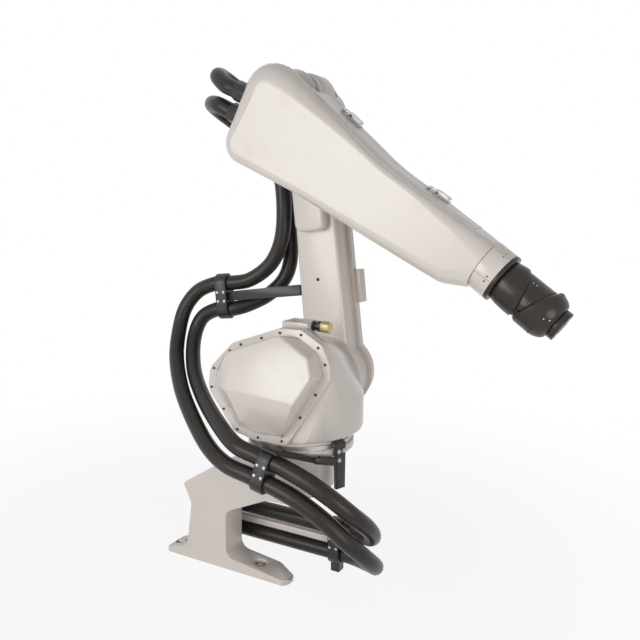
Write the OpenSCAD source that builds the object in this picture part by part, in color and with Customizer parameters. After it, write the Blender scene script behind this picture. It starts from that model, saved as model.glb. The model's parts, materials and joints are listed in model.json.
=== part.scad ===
// Six-axis painting robot on a slender C-shaped floor base, with a hollow wrist and
// an outside hose pair. Millimetres. The origin is on the foot's underside, in its middle
// plane and below the column's front face. +Z is up, +X is the way the arm reaches and -Y
// is the side with the motor cover.

/* [Base] */
// Length of the foot along X
foot_l = 632; // [600:2:680]
// Distance of the foot's rear end behind the origin
foot_back = 330; // [315:1:345]
// Thickness of the foot beside the column
foot_t = 57; // [45:1:70]
// Thickness of the foot at its front tip
tip_t = 24; // [20:1:34]
// Thickness of the casting across Y
base_w = 122; // [100:2:140]
// X of the column's front face
column_x = -2; // [-20:2:20]
// Length of the column along X at its waist
column_l = 186; // [160:2:210]
// Height of the gap between the foot and the head, at the column
window_z = 262; // [240:2:280]
// Height of the head's underside
head_z = 362; // [345:1:375]
// Height of the head's top
head_top_z = 475; // [460:1:485]
// X of the first axis
j1_x = 335; // [320:1:350]
// Radius of the pedestal below the first axis
pedestal_r = 140; // [120:1:150]
// Radius of the pedestal's flange
seat_r = 212; // [190:1:220]
// Height of the pedestal's flange face
seat_z = 648; // [635:1:665]
// Radius of the holes for the floor bolts
foot_hole_r = 11; // [8:0.5:13]

/* [Turret] */
// Radius of the turret's drum
turret_r = 248; // [240:1:260]
// Height of the second axis above the turret's lower rim
j2_up = 166; // [155:1:180]
// Thickness of the bearing ring on the base
ring_t = 16; // [10:1:24]
// Thickness of the turret's lower flange
turret_flange_t = 22; // [16:1:30]
// Distance of the cover's flange from the second axis' middle
cover_y = 200; // [190:1:215]
// Thickness of the cover's bolted flange
cover_flange_t = 16; // [10:1:22]
// How far the motor cover stands out from its flange
cover_d = 114; // [90:1:130]
// Distance of the inner arm's seat on the other side
arm_seat_y = 190; // [180:1:205]

/* [Inner arm] */
// Distance between the second and third axes
arm_l = 1144; // [1100:2:1200]
// Backward lean of the inner arm, in degrees
arm_lean = 6.4; // [0:0.1:12]
// Thickness of the inner arm across Y
arm_t = 167; // [140:1:180]
// Thickness of the round flange at the second axis
arm_flange_t = 24; // [18:1:32]
// Radius of that flange
arm_flange_r = 163; // [156:1:175]
// Width of the arm above its lower end
arm_w_low = 206; // [190:2:220]
// Width of the arm below its upper end
arm_w_top = 178; // [165:1:190]
// Radius of the lower round end
arm_low_r = 146; // [135:1:155]
// Radius of the upper round end
arm_top_r = 100; // [95:1:108]
// Radius of the hub at the third axis
j3_hub_r = 88; // [75:1:98]

/* [Forearm] */
// Downward pitch of the forearm, in degrees
fore_pitch = 32.4; // [20:0.1:40]
// Distance from the third axis to the shell's front end
fore_l = 1043; // [1000:1:1080]
// Width of the shell at the third axis
fore_w = 250; // [230:2:260]
// Width of the shell at its front end
front_w = 188; // [184:1:200]
// Drop of the wrist's axis below the third axis
wrist_drop = 65; // [55:1:75]
// Radius of the shell's upper edges at its crown
crown_edge_r = 84; // [70:1:88]
// Radius of the shell's upper edges in the middle
edge_r = 22; // [14:1:40]
// Radius of the shell's lower edges
low_edge_r = 32; // [20:1:45]
// Radius of the shell's edges at the front
front_edge_r = 68; // [55:1:74]
// Width of the lid at its rear end
lid_w = 110; // [96:1:116]
// Width of the lid at its front end
lid_front_w = 98; // [86:1:104]
// Thickness of the lid
lid_t = 18; // [12:1:24]
// Height of the lid above the shell
lid_proud = 2; // [1:0.5:5]
// Height of the seat at the third axis above the shell's side
j3_seat_t = 10; // [6:1:14]

/* [Wrist] */
// Radius of the split collar
collar_r = 90; // [86:1:93]
// Length of the split collar
collar_l = 70; // [50:1:80]
// Length of the dark ring behind the roll housing
wrist_ring_l = 14; // [10:1:20]
// Dip of the wrist's axis below the forearm's line, in degrees
wrist_tip = 3; // [0:0.5:5]
// Length from the dark ring to the middle of the slanted seam
roll_l = 139; // [132:1:150]
// Largest radius of the roll housing
roll_r = 82; // [78:1:86]
// Slant of the bend axis against the roll axis, in degrees
bend_slant = 22; // [16:1:24]
// Turn of that slant about the roll axis, from straight down, in degrees
bend_turn = -25; // [-40:1:0]
// Length from the slanted seam to the tool flange
elbow_l = 88; // [86:1:100]
// Largest radius of the elbow
elbow_r = 88; // [84:1:90]
// Radius of the tool flange
tool_r = 55; // [50:1:60]
// Thickness of the tool flange
tool_t = 22; // [16:1:30]
// Radius of the hollow way through the tool flange
tool_bore_r = 30; // [24:1:33]
// Diameter of the tool flange's bolt circle
tool_pcd = 86; // [80:1:92]
// Radius of the holes in the tool flange
tool_hole_r = 3.3; // [2.5:0.1:4.2]

/* [Hoses] */
// Outside diameter of the hoses
hose_d = 66; // [56:1:68]
// Wall of the hose clamps round each hose
clamp_wall = 11; // [8:1:14]
// Length of a hose clamp along its hoses
clamp_l = 52; // [40:1:64]

/* [Hidden] */
$fn = 64;

// Running gap between pieces that turn on each other, and the play of a piece in its seat
gap = 0.3;
// A cut passes this far beyond the surface it opens
over = 1;

paint = "#e4dcd6";
black = "#2c2826";
dark = "#3a3532";
steel = "#8d8a85";
brass = "#c8a84e";

turret_z = seat_z + ring_t + gap + turret_flange_t;
j2_z = turret_z + j2_up;
arm_y = arm_seat_y + gap + arm_flange_t;
j3_x = j1_x - arm_l * sin(arm_lean);
j3_z = j2_z + arm_l * cos(arm_lean);
hose_r = hose_d / 2;
clamp_bore_r = hose_r + gap;
j3_seat_y = fore_w / 2 + j3_seat_t;
column_back_x = column_x - column_l;
foot_front_x = foot_l - foot_back;

// Distance of each wrist piece's start from the third axis, along the forearm
ring_s = fore_l + collar_l + gap;
seam_s = ring_s + wrist_ring_l + roll_l;
tool_s = seam_s + elbow_l;

// Geometry helpers

function unit(v) = v / norm(v);

// Points that round the corner b, between a and c, with the radius r
function corner_arc(a, b, c, r, n) =
    let (
        u = unit(a - b),
        v = unit(c - b),
        half = acos(u * v) / 2,
        centre = b + unit(u + v) * r / sin(half),
        first = b + u * r / tan(half) - centre,
        last = b + v * r / tan(half) - centre,
        start = atan2(first.y, first.x),
        turn = atan2(last.y, last.x) - start,
        sweep = turn > 180 ? turn - 360 : (turn < -180 ? turn + 360 : turn)
    )
    [for (i = [0:n]) centre + r * [cos(start + sweep * i / n), sin(start + sweep * i / n)]];

function flat(p) = [p[0], p[1]];

// A closed outline from corners [x, y, radius]
function rounded(corners, n = 6) =
    let (count = len(corners))
    [for (i = [0:count - 1])
        let (a = corners[(i + count - 1) % count], b = corners[i], c = corners[(i + 1) % count])
        each b[2] > 0 ? corner_arc(flat(a), flat(b), flat(c), b[2], n) : [flat(b)]];

// Inward normal of a clockwise outline at point i
function inward(pts, i) =
    let (count = len(pts), t = unit(pts[(i + 1) % count] - pts[(i + count - 1) % count]))
    [t.y, -t.x];

// Faces that skin a stack of rings of n points each, with both ends closed
function skin_faces(rings, n) = concat(
    [[for (i = [n - 1:-1:0]) i]],
    [for (k = [0:rings - 2], i = [0:n - 1])
        let (a = k * n + i, b = k * n + (i + 1) % n)
        each [[a, b, b + n], [a, b + n, a + n]]],
    [[for (i = [0:n - 1]) (rings - 1) * n + i]]
);

// Adds points along an outline's straight stretches, so that none is longer than step
function spread(pts, step) =
    let (count = len(pts))
    [for (i = [0:count - 1])
        let (a = pts[i], b = pts[(i + 1) % count], n = ceil(norm(b - a) / step))
        each [for (k = [0:n - 1]) a + (b - a) * k / n]];

// A straight profile across Y: an XZ outline pushed from y0 to y1
module across(y0, y1) {
    translate([0, y1, 0]) rotate([90, 0, 0]) linear_extrude(y1 - y0) children();
}

// A round bar along Y
module bar_y(r, y0, y1, x = 0, z = 0) {
    translate([x, y1, z]) rotate([90, 0, 0]) cylinder(r = r, h = y1 - y0);
}

// Places things on the first axis, on the inner arm with Z along it, on the forearm with
// X along it, and on the wrist with Z along its roll axis
module at_j1() { translate([j1_x, 0, 0]) children(); }
module at_j2() { translate([j1_x, 0, j2_z]) children(); }
module on_arm() { at_j2() rotate([0, -arm_lean, 0]) children(); }
module on_forearm() { translate([j3_x, 0, j3_z]) rotate([0, fore_pitch, 0]) children(); }
module on_wrist(s) {
    on_forearm() translate([ring_s, 0, -wrist_drop]) rotate([0, wrist_tip, 0])
        translate([s - ring_s, 0, 0]) rotate([0, 90, 0]) children();
}
// A point of the forearm: s along it, y across it, z above the third axis
function fore_point(s, y, z) = [j3_x + s * cos(fore_pitch) + z * sin(fore_pitch), y,
    j3_z - s * sin(fore_pitch) + z * cos(fore_pitch)];

// A hose swept along its route with a ring of flats at each point
function route_dir(route, i) =
    unit((i < len(route) - 1 ? route[i + 1] : route[i]) - (i > 0 ? route[i - 1] : route[i]));
// The side direction of a ring, carried from ring to ring so that the hose doesn't twist
function hose_side(route, i) =
    let (d = route_dir(route, i), before = i == 0 ? cross(d, [0, 0, 1]) : hose_side(route, i - 1))
    unit(before - (before * d) * d);
function hose_ring(route, i, sides) =
    let (side = hose_side(route, i), up = cross(side, route_dir(route, i)))
    [for (k = [0:sides - 1])
        route[i] + hose_r * (cos(k * 360 / sides) * side + sin(k * 360 / sides) * up)];
// Draws both ends of a route in by the play, so that hoses which meet in a clamp stay apart
function drawn_in(route) = let (n = len(route) - 1)
    [for (i = [0:n]) i == 0 ? route[0] + gap * route_dir(route, 0)
        : (i == n ? route[n] - gap * route_dir(route, n) : route[i])];
module hose(full_route, sides = 10) {
    route = drawn_in(full_route);
    color(black) polyhedron(
        [for (i = [0:len(route) - 1]) each hose_ring(route, i, sides)],
        skin_faces(len(route), sides), convexity = 6);
}

// Turns the Z axis onto the direction d
module along(p, d) {
    translate(p) rotate([0, acos(unit(d).z), atan2(d.y, d.x)]) children();
}

// Hose routes. Each starts and ends in the middle of a clamp or at a gland's face.
base_clamp_x = 430;
hose_run_y = 150;
base_upper_z = 212;
base_lower_z = 98;
inlet_x = -70;
base_upper = [[inlet_x, hose_run_y, base_upper_z], [180, hose_run_y, base_upper_z],
    [base_clamp_x, hose_run_y, base_upper_z]];
base_lower = [[inlet_x, hose_run_y, base_lower_z], [180, hose_run_y, base_lower_z],
    [base_clamp_x, hose_run_y, base_lower_z]];

turret_clamp_dir = [0.98, 0, -0.2];
turret_clamp_outer = [330, -282, 545];
turret_clamp_inner = [345, -262, 622];
loop_upper = [turret_clamp_inner, turret_clamp_inner + 60 * turret_clamp_dir, [520, -268, 577],
    [612, -258, 530], [680, -215, 462], [702, -130, 385], [676, -30, 306], [610, 70, 242],
    [525, 140, 215], [base_clamp_x + 40, hose_run_y, base_upper_z], base_upper[2]];
loop_lower = [turret_clamp_outer, turret_clamp_outer + 60 * turret_clamp_dir, [486, -282, 503],
    [590, -270, 445], [668, -235, 365], [707, -160, 282], [701, -60, 203], [642, 50, 140],
    [545, 130, 104], [base_clamp_x + 40, hose_run_y, base_lower_z], base_lower[2]];

arm_clamp_dir = [0.96, 0.2, 0.1];
arm_clamp_outer = [-197, 205, 1205];
arm_clamp_inner = [-185, 205, 1090];
riser_outer = [turret_clamp_outer, turret_clamp_outer - 60 * turret_clamp_dir, [155, -274, 578],
    [34, -230, 622], [-113, -145, 703], [-234, -58, 780], [-334, 36, 872], [-383, 108, 961],
    [-386, 160, 1075], [-328, 185, 1160], arm_clamp_outer - 45 * arm_clamp_dir, arm_clamp_outer];
riser_inner = [turret_clamp_inner, turret_clamp_inner - 60 * turret_clamp_dir, [190, -258, 658],
    [50, -180, 702], [-104, -72, 756], [-228, 28, 826], [-302, 112, 908], [-324, 164, 985],
    [-298, 186, 1048], arm_clamp_inner - 45 * arm_clamp_dir, arm_clamp_inner];

gland_dir = [cos(fore_pitch - 9), 0, -sin(fore_pitch - 9)];
gland_outer = fore_point(-140, -25, -76);
gland_inner = fore_point(-132, 0, -164);
upper_outer = [arm_clamp_outer, arm_clamp_outer + 45 * arm_clamp_dir, [-80, 235, 1225],
    [0, 255, 1280], [50, 262, 1350], [80, 260, 1440], [88, 255, 1560], [74, 252, 1690],
    [42, 248, 1810], [-6, 236, 1912], [-58, 204, 1996], [-95, 142, 2050], [-98, 70, 2072],
    [-62, 2, 2060], gland_outer - 60 * gland_dir, gland_outer];
upper_inner = [arm_clamp_inner, arm_clamp_inner + 45 * arm_clamp_dir, [-85, 245, 1115],
    [-15, 290, 1158], [42, 325, 1222], [70, 337, 1300], [72, 338, 1400], [58, 334, 1540],
    [34, 326, 1650], [-4, 306, 1748], [-62, 266, 1832], [-126, 206, 1900], [-160, 138, 1946],
    [-144, 70, 1966], gland_inner - 75 * gland_dir, gland_inner];

// Base

// Side outline of the casting: foot, column, head and the slanted back of the head
overhang_x = column_back_x - 42;
rear_tip_t = 26;
base_side = [
    [-foot_back, 0, 0], [foot_front_x, 0, 0], [foot_front_x, tip_t, 8],
    [column_x, foot_t, 46], [column_x, window_z, 36], [j1_x - 130, head_z - 4, 90],
    [j1_x + 10, head_z, 8], [j1_x + 10, head_top_z, 0], [column_x - 30, head_top_z, 70],
    [overhang_x, head_top_z - 128, 14], [column_back_x, window_z, 46],
    [column_back_x - 27, foot_t, 40], [-foot_back, rear_tip_t, 10]
];
// Plan of the foot: straight sides, a front tip that tapers on the far side, a rounded rear lug
tip_taper_l = 98;
base_plan = [
    [-foot_back, -base_w / 2, 16], [foot_front_x - 18, -base_w / 2, 12], [foot_front_x, -base_w * 0.3, 12],
    [foot_front_x, base_w * 0.05, 16], [foot_front_x - tip_taper_l, base_w / 2, 60],
    [-foot_back, base_w / 2, 16]
];
// Floor bolts, each in a round recess
rear_hole_inset = 36;
front_hole_inset = 166;
recess_r = 27;
recess_z = 18;
pedestal_low_z = head_z + 56;

module base_casting() {
    color(paint) difference() {
        union() {
            intersection() {
                across(-base_w, base_w) polygon(rounded(base_side));
                linear_extrude(seat_z) polygon(rounded(base_plan));
            }
            intersection() {
                across(-base_w / 2, base_w / 2) polygon(rounded(base_side));
                translate([j1_x - 150, -base_w, head_z - 20]) cube([220, 2 * base_w, seat_z]);
            }
            at_j1() rotate_extrude() polygon([
                [0, pedestal_low_z], [pedestal_r - 34, pedestal_low_z], [pedestal_r, pedestal_low_z + 40],
                [pedestal_r, seat_z - 62], [seat_r, seat_z - 30], [seat_r, seat_z], [0, seat_z]]);
        }
        for (x = [rear_hole_inset - foot_back, foot_front_x - front_hole_inset]) translate([x, 0, 0]) {
            translate([0, 0, -over]) cylinder(r = foot_hole_r, h = foot_t + 40);
            translate([0, 0, recess_z]) cylinder(r = recess_r, h = foot_t);
        }
    }
}

module bearing_ring() {
    color(steel) at_j1() translate([0, 0, seat_z]) cylinder(r = seat_r - 10, h = ring_t);
}

// Bracket on the far side of the column that holds the two hose glands
inlet_t = 12;
inlet_top_z = base_upper_z + hose_r + 22;
inlet_low_z = base_lower_z - hose_r - 22;
inlet_reach_y = hose_run_y + hose_r + 24;
gland_l = 42;
gland_flange_r = hose_r + 8;

module inlet_bracket() {
    color(black) {
        translate([inlet_x - gland_l - inlet_t, base_w / 2, inlet_low_z])
            cube([inlet_t, inlet_reach_y - base_w / 2, inlet_top_z - inlet_low_z]);
        translate([inlet_x - gland_l - 70, base_w / 2, inlet_low_z + 30])
            cube([60, inlet_t, inlet_top_z - inlet_low_z - 60]);
    }
}

module inlet_glands() {
    color(steel) for (z = [base_upper_z, base_lower_z])
        translate([inlet_x - gland_l, hose_run_y, z]) rotate([0, 90, 0])
            cylinder(r = gland_flange_r, h = gland_l - gap, $fn = 8);
}

bar_h = base_upper_z - base_lower_z - 2 * gland_flange_r - 4;
bar_z = (base_upper_z + base_lower_z) / 2;
module hose_support_bar() {
    color(paint) translate([inlet_x - gland_l, hose_run_y - 18, bar_z - bar_h / 2])
        cube([base_clamp_x - clamp_l / 2 - gap - inlet_x + gland_l, 36, bar_h]);
}

// A clamp block with one bore for each of two hoses
module clamp_block(a, b, d) {
    difference() {
        hull() {
            for (p = [a, b]) along(p, d) translate([0, 0, -clamp_l / 2])
                cylinder(r = clamp_bore_r + clamp_wall, h = clamp_l, $fn = 32);
        }
        for (p = [a, b]) along(p, d) translate([0, 0, -clamp_l])
            cylinder(r = clamp_bore_r, h = 2 * clamp_l);
    }
}

// The clamp stands on a block whose top lies inside the clamp's wall
clamp_foot_w = 44;
clamp_foot_z = 20;
module base_hose_clamp() {
    color(black) {
        clamp_block(base_upper[2], base_lower[2], [1, 0, 0]);
        translate([base_clamp_x - clamp_l / 2 + 6, hose_run_y - clamp_foot_w / 2, clamp_foot_z])
            cube([clamp_l - 12, clamp_foot_w, base_lower_z - clamp_bore_r - 3 - clamp_foot_z]);
    }
}

module base_hose_upper() { hose(base_upper); }
module base_hose_lower() { hose(base_lower); }
module loop_hose_upper() { hose(loop_upper); }
module loop_hose_lower() { hose(loop_lower); }

// Turret

// The lower flange ends short of the cover's flange
turret_flange_r = cover_y - 4;
module turret_flange() {
    color(paint) at_j1() translate([0, 0, seat_z + ring_t + gap])
        cylinder(r = turret_flange_r, h = turret_flange_t);
}

// Outline of the cover's flange about the second axis, clockwise
flange_outline = [
    [62, -176, 34], [-83, -181, 34], [-177, -160, 50], [-300, -6, 60], [-290, 82, 60], [-183, 190, 60],
    [25, 266, 50], [122, 271, 34], [211, 221, 30], [239, 160, 30], [246, 100, 22]
];

drum_h = j2_up - 20;
drum_edge = 26;
// The drum's round wall runs up into the flange's outline on one side and the arm's round
// seat on the other, and is cut flat where the two sit
module turret_housing() {
    color(paint) intersection() {
        hull() {
            at_j2() across(-cover_y, -cover_y + 30) polygon(rounded(flange_outline, 4));
            at_j1() translate([0, 0, turret_z]) rotate_extrude() polygon([
                [0, 0], [turret_r - drum_edge, 0], [turret_r - drum_edge / 2, drum_edge * 0.134],
                [turret_r - drum_edge * 0.134, drum_edge / 2], [turret_r, drum_edge],
                [turret_r, drum_h], [0, drum_h]]);
            at_j2() bar_y(arm_flange_r - 8, arm_seat_y - 40, arm_seat_y);
        }
        at_j1() translate([-2 * turret_r, -cover_y, turret_z])
            cube([4 * turret_r, cover_y + arm_seat_y, 2 * j2_up + turret_r]);
    }
}

module cover_flange() {
    color(paint) at_j2() across(-cover_y - cover_flange_t, -cover_y)
        polygon(rounded(flange_outline, 4));
}

// Corners of the gem-like cover about the second axis: x, share of its depth, z
cover_corners = [
    [55, 0.44, 252], [189, 0.589, 184], [212, 0.75, 118], [157, 1, 21], [68, 0.3, -125],
    [-123, 0.3, -106], [-131, 1, 38], [-154, 0.672, 171]
];
cover_inset = 30;
module motor_cover() {
    face_y = -cover_y - cover_flange_t;
    base_pts = rounded(flange_outline, 2);
    n = len(base_pts);
    points = concat(
        [for (i = [0:n - 1])
            let (p = base_pts[i] + cover_inset * inward(base_pts, i)) [p.x, face_y, p.y]],
        [for (c = cover_corners) [c[0], face_y - c[1] * cover_d, c[2]]]);
    color(paint) at_j2() hull()
        polyhedron(points, [for (i = [1:len(points) - 2]) [0, i, i + 1]]);
}

// Small box on the turret's shoulder, about the second axis, and the gland on its side
box_at = [10, -cover_y + 34, 190];
box_size = [110, 90, 96];
cable_gland_r = 16;
cable_gland_l = 40;
module top_box() {
    color(paint) difference() {
        at_j2() translate(box_at) cube(box_size);
        turret_housing();
    }
}

module cable_gland() {
    color(brass) at_j2()
        translate([box_at.x + box_size.x, box_at.y + box_size.y / 2, box_at.z + box_size.z - 14])
            rotate([0, 90, 0]) cylinder(r = cable_gland_r, h = cable_gland_l, $fn = 6);
}

// Bracket that hangs from the turret's underside and reaches out to the hose clamp's top
hang_angle = -20;
hang_r = seat_r + 14;
hang_t = 14;
hang_w = 46;
hang_low_z = head_top_z + 20;
hang_foot_t = 12;
bracket_t = 10;
// The strut's bend, which goes round the pedestal's flange
strut_angle = -45;
strut_r = seat_r + 36;
strut_w = 24;
module strut_bend(size) {
    at_j1() rotate([0, 0, strut_angle]) translate([strut_r, 0, seat_z - 20]) cube(size, center = true);
}
module turret_bracket() {
    plate_x = -clamp_bore_r - clamp_wall - gap - bracket_t;
    color(black) {
        at_j1() rotate([0, 0, hang_angle]) {
            translate([hang_r, -hang_w / 2, hang_low_z])
                cube([hang_t, hang_w, turret_z - gap - hang_foot_t / 2 - hang_low_z]);
            translate([turret_flange_r + 3, -hang_w / 2 + 4, turret_z - gap - hang_foot_t])
                cube([hang_r + hang_t - turret_flange_r - 6, hang_w - 8, hang_foot_t]);
        }
        // The strut starts and ends inside the two plates
        hull() {
            at_j1() rotate([0, 0, hang_angle]) translate([hang_r + 2, -14, seat_z - 60])
                cube([hang_t - 4, 28, strut_w]);
            strut_bend(strut_w);
        }
        hull() {
            strut_bend(strut_w - 4);
            along(turret_clamp_inner, turret_clamp_dir)
                translate([plate_x + 1, -16, clamp_l / 2 + 3]) cube([bracket_t - 2, 32, 20]);
        }
        along(turret_clamp_inner, turret_clamp_dir)
            translate([plate_x, -26, -clamp_l / 2]) cube([bracket_t, 52, clamp_l + 24]);
    }
}

module turret_hose_clamp() {
    color(black) clamp_block(turret_clamp_outer, turret_clamp_inner, turret_clamp_dir);
}

module riser_hose_outer() { hose(riser_outer); }
module riser_hose_inner() { hose(riser_inner); }

// Inner arm

module arm_flange() {
    color(paint) on_arm() bar_y(arm_flange_r, arm_seat_y + gap, arm_y);
}

// The arm's near layer reaches up to the third axis; its far layer ends lower
arm_near_t = 100;
arm_far_drop = 61;
function arm_half(s) = (arm_w_low + (arm_w_top - arm_w_low) * (s - 60) / (arm_l - 110)) / 2;
module arm_outline(top_s, top_r, inset) {
    circle(r = arm_low_r - inset);
    translate([0, top_s]) circle(r = top_r);
    polygon([[-arm_half(60) + inset, 60], [arm_half(60) - inset, 60],
        [arm_half(top_s - 50) - inset, top_s - 50], [-arm_half(top_s - 50) + inset, top_s - 50]]);
}
module inner_arm() {
    color(paint) on_arm() {
        across(arm_y, arm_y + arm_near_t) arm_outline(arm_l, arm_top_r, 0);
        across(arm_y + arm_near_t - 10, arm_y + arm_t) arm_outline(arm_l - arm_far_drop, arm_top_r + 9, 1.5);
    }
}

module j3_hub() {
    color(paint) on_arm() translate([0, 0, arm_l]) {
        bar_y(j3_hub_r, j3_seat_y + gap, arm_y);
        bar_y(arm_top_r - 6, arm_y - 26, arm_y);
    }
}

// Cover on the arm's near side, between two distances below the third axis
arm_cover_low = arm_l - 538;
arm_cover_top = arm_l - 159;
arm_cover_half = 70;
arm_cover_d = 52;
module arm_motor_cover() {
    color(paint) on_arm() across(arm_y - arm_cover_d, arm_y) polygon(rounded([
        [-arm_cover_half, arm_cover_low, 34], [arm_cover_half, arm_cover_low, 34],
        [arm_cover_half, arm_cover_top, 40], [-arm_cover_half, arm_cover_top, 40]]));
}

// Box on the arm's front edge, along its far side
side_box_from = 290;
side_box_size = [44, 50, 140];
module arm_side_box() {
    color(paint) difference() {
        on_arm() translate([arm_half(side_box_from) - 14, arm_y + arm_t - side_box_size.y, side_box_from])
            cube(side_box_size);
        inner_arm();
    }
}

arm_bar_z = 340;
arm_bar_h = 45;
arm_bar_t = 26;
module arm_hose_bar() {
    color(black) difference() {
        hull() {
            on_arm() translate([-arm_w_low / 2 - 12, arm_y + 2, arm_bar_z])
                cube([24, arm_bar_t, arm_bar_h]);
            along((arm_clamp_outer + arm_clamp_inner) / 2, arm_clamp_dir)
                translate([-20, -arm_bar_t, clamp_l / 2 + gap]) cube([40, arm_bar_t, 10]);
        }
        inner_arm();
    }
}

module arm_hose_clamp() {
    color(black) clamp_block(arm_clamp_outer, arm_clamp_inner, arm_clamp_dir);
}

module upper_hose_outer() { hose(upper_outer); }
module upper_hose_inner() { hose(upper_inner); }

// Forearm

// Side outline of the shell about the third axis, clockwise; the nose runs on past the front
// end, where it is cut off
nose = 74;
crest = [80, 111];
dip = [560, 28];
dip_r = 900;
nose_top = [fore_l + nose, 22];
fore_side = [
    [-104, 112, 110], [crest.x, crest.y, 90], [dip.x, dip.y, dip_r], [nose_top.x, nose_top.y, 88],
    [fore_l + nose, -118, 78], [fore_l - 78, -194, 110], [320, -245, 400], [-36, -300, 84]
];
function half_width(s) = fore_w / 2 + (front_w - fore_w) / 2 * s / fore_l;
// Radius of the long edges: by height at the rear end, and by station along the top and underside
rear_edges = [[-290, low_edge_r + 8], [10, crown_edge_r]];
crown_edges = [[60, crown_edge_r], [460, edge_r], [720, edge_r], [fore_l - 140, edge_r + 20],
    [fore_l, front_edge_r]];
low_edges = [[0, low_edge_r + 8], [300, low_edge_r], [fore_l - 140, low_edge_r + 18], [fore_l, front_edge_r]];
function long_edge_r(p, n) =
    p.x < 0 ? lookup(p.y, rear_edges) : lookup(p.x, n.y < 0 ? crown_edges : low_edges);

module shell_body() {
    pts = spread(rounded(fore_side, 8), 70);
    n = len(pts);
    steps = 5;
    // Each ring is the side outline drawn in by the long edges' round, from the far side to the near
    points = [for (side = [1, -1], k = [0:steps])
        let (t = side > 0 ? 90 * k / steps : 90 - 90 * k / steps)
        each [for (i = [0:n - 1])
            let (r = long_edge_r(pts[i], inward(pts, i)), p = pts[i] + r * (1 - sin(t)) * inward(pts, i))
            [p.x, side * (half_width(p.x) - r * (1 - cos(t))), p.y]]];
    polyhedron(points, skin_faces(2 * steps + 2, n), convexity = 6);
}

// Pocket in the shell's top at the third axis, open towards the inner arm
pocket_from = -22;
pocket_to = 172;
pocket_y = -40;
pocket_z = 46;
module pocket(inset = 0) {
    translate([0, 0, pocket_z + inset]) linear_extrude(fore_w) polygon(rounded([
        [pocket_from + inset, pocket_y + inset, 30], [pocket_to - inset, pocket_y + inset, 30],
        [pocket_to - inset, fore_w, 0], [pocket_from + inset, fore_w, 0]], 4));
}

// The lid follows the shell's top between two stations
lid_from = 190;
lid_to = fore_l - 90;
lid_a = crest + (dip - crest) * (lid_from - crest.x) / (dip.x - crest.x);
lid_b = dip + (nose_top - dip) * (lid_to - dip.x) / (nose_top.x - dip.x);
module lid_shape(grow) {
    arc = corner_arc(lid_a, dip, lid_b, dip_r, 8);
    path = concat([lid_a - [grow, 0]], arc, [lid_b + [grow, 0]]);
    n = len(path);
    polygon(concat([for (p = path) p + [0, lid_proud]],
        [for (i = [n - 1:-1:0]) path[i] - [0, lid_t - lid_proud + grow]]));
}

// The lid's solid, grown by its play for the pocket that it sits in
module lid_solid(grow, headroom = 0) {
    intersection() {
        across(-lid_w, lid_w) union() {
            lid_shape(grow);
            translate([0, headroom]) lid_shape(grow);
        }
        translate([0, 0, -400]) linear_extrude(800) polygon([
            [lid_from - grow, -lid_w / 2 - grow], [lid_to + grow, -lid_front_w / 2 - grow],
            [lid_to + grow, lid_front_w / 2 + grow], [lid_from - grow, lid_w / 2 + grow]]);
    }
}

module forearm_shell() {
    color(paint) on_forearm() difference() {
        shell_body();
        pocket();
        translate([fore_l, -fore_w, -400]) cube([400, 2 * fore_w, 800]);
        lid_solid(gap, lid_t / 2);
    }
}

module forearm_lid() {
    color(paint) on_forearm() lid_solid(0);
}

// Draw latches along the lid's far edge: station, and the lid's slope there
latch_at = [285, 730];
latch_l = 75;
latch_w = 44;
latch_t = 12;
latch_in = 24;
function top_line(s) = s < dip.x ? [crest, dip] : [dip, nose_top];
function top_slope(s) = let (l = top_line(s), d = l[1] - l[0]) atan2(d.y, d.x);
function top_z(s) = let (l = top_line(s)) l[0].y + (s - l[0].x) * tan(top_slope(s));
function lid_half(s) = (lid_w + (lid_front_w - lid_w) * (s - lid_from) / (lid_to - lid_from)) / 2;
module lid_latches() {
    color(steel) on_forearm() for (s = latch_at)
        translate([s, lid_half(s) - latch_in, top_z(s) + lid_proud + gap]) rotate([0, -top_slope(s), 0])
            cube([latch_l, latch_w, latch_t]);
}

// Seat on the shell's flat far side and the drum that shows in the pocket
j3_drum_r = 80;
side_angle = atan((front_w - fore_w) / 2 / fore_l);
module j3_seat() {
    color(paint) on_forearm() {
        difference() {
            bar_y(j3_hub_r + 14, fore_w / 2 - 12, j3_seat_y);
            translate([0, fore_w / 2 + gap, 0]) rotate([0, 0, side_angle])
                translate([-fore_w, -fore_w, -fore_w]) cube([2 * fore_w, fore_w, 2 * fore_w]);
        }
        intersection() {
            bar_y(j3_drum_r, pocket_y + 14, fore_w / 2 + j3_seat_t / 2);
            pocket(gap);
        }
    }
}

// The collar lies along the wrist's axis and is cut flush with the shell's front end
collar_back = 10;
module wrist_collar() {
    color(paint) difference() {
        on_wrist(fore_l - collar_back) cylinder(r = collar_r, h = collar_l + collar_back);
        on_forearm() translate([fore_l - 400, -fore_w, -500]) cube([400, 2 * fore_w, 1000]);
    }
}

gland_len = 80;
module rear_glands() {
    color(steel) difference() {
        for (p = [gland_outer, gland_inner]) along(p, gland_dir)
            translate([0, 0, gap]) cylinder(r = gland_flange_r, h = gland_len, $fn = 8);
        on_forearm() shell_body();
    }
}

// Wrist

module wrist_ring() {
    color(black) on_wrist(ring_s) cylinder(r = collar_r, h = wrist_ring_l);
}

// Places things on the slanted seam, with Z along the bend axis
module on_seam() { on_wrist(seam_s) rotate([0, 0, bend_turn]) rotate([0, bend_slant, 0]) children(); }

// The roll housing's outer part ends along a plane of its own
housing_s = ring_s + wrist_ring_l + roll_l - 71;
housing_slant = 21.5;
housing_turn = 118;
module past_housing(side) {
    on_wrist(housing_s) rotate([0, 0, housing_turn]) rotate([0, housing_slant, 0])
        translate([-300, -300, side > 0 ? 0 : -600]) cube(600);
}

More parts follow.
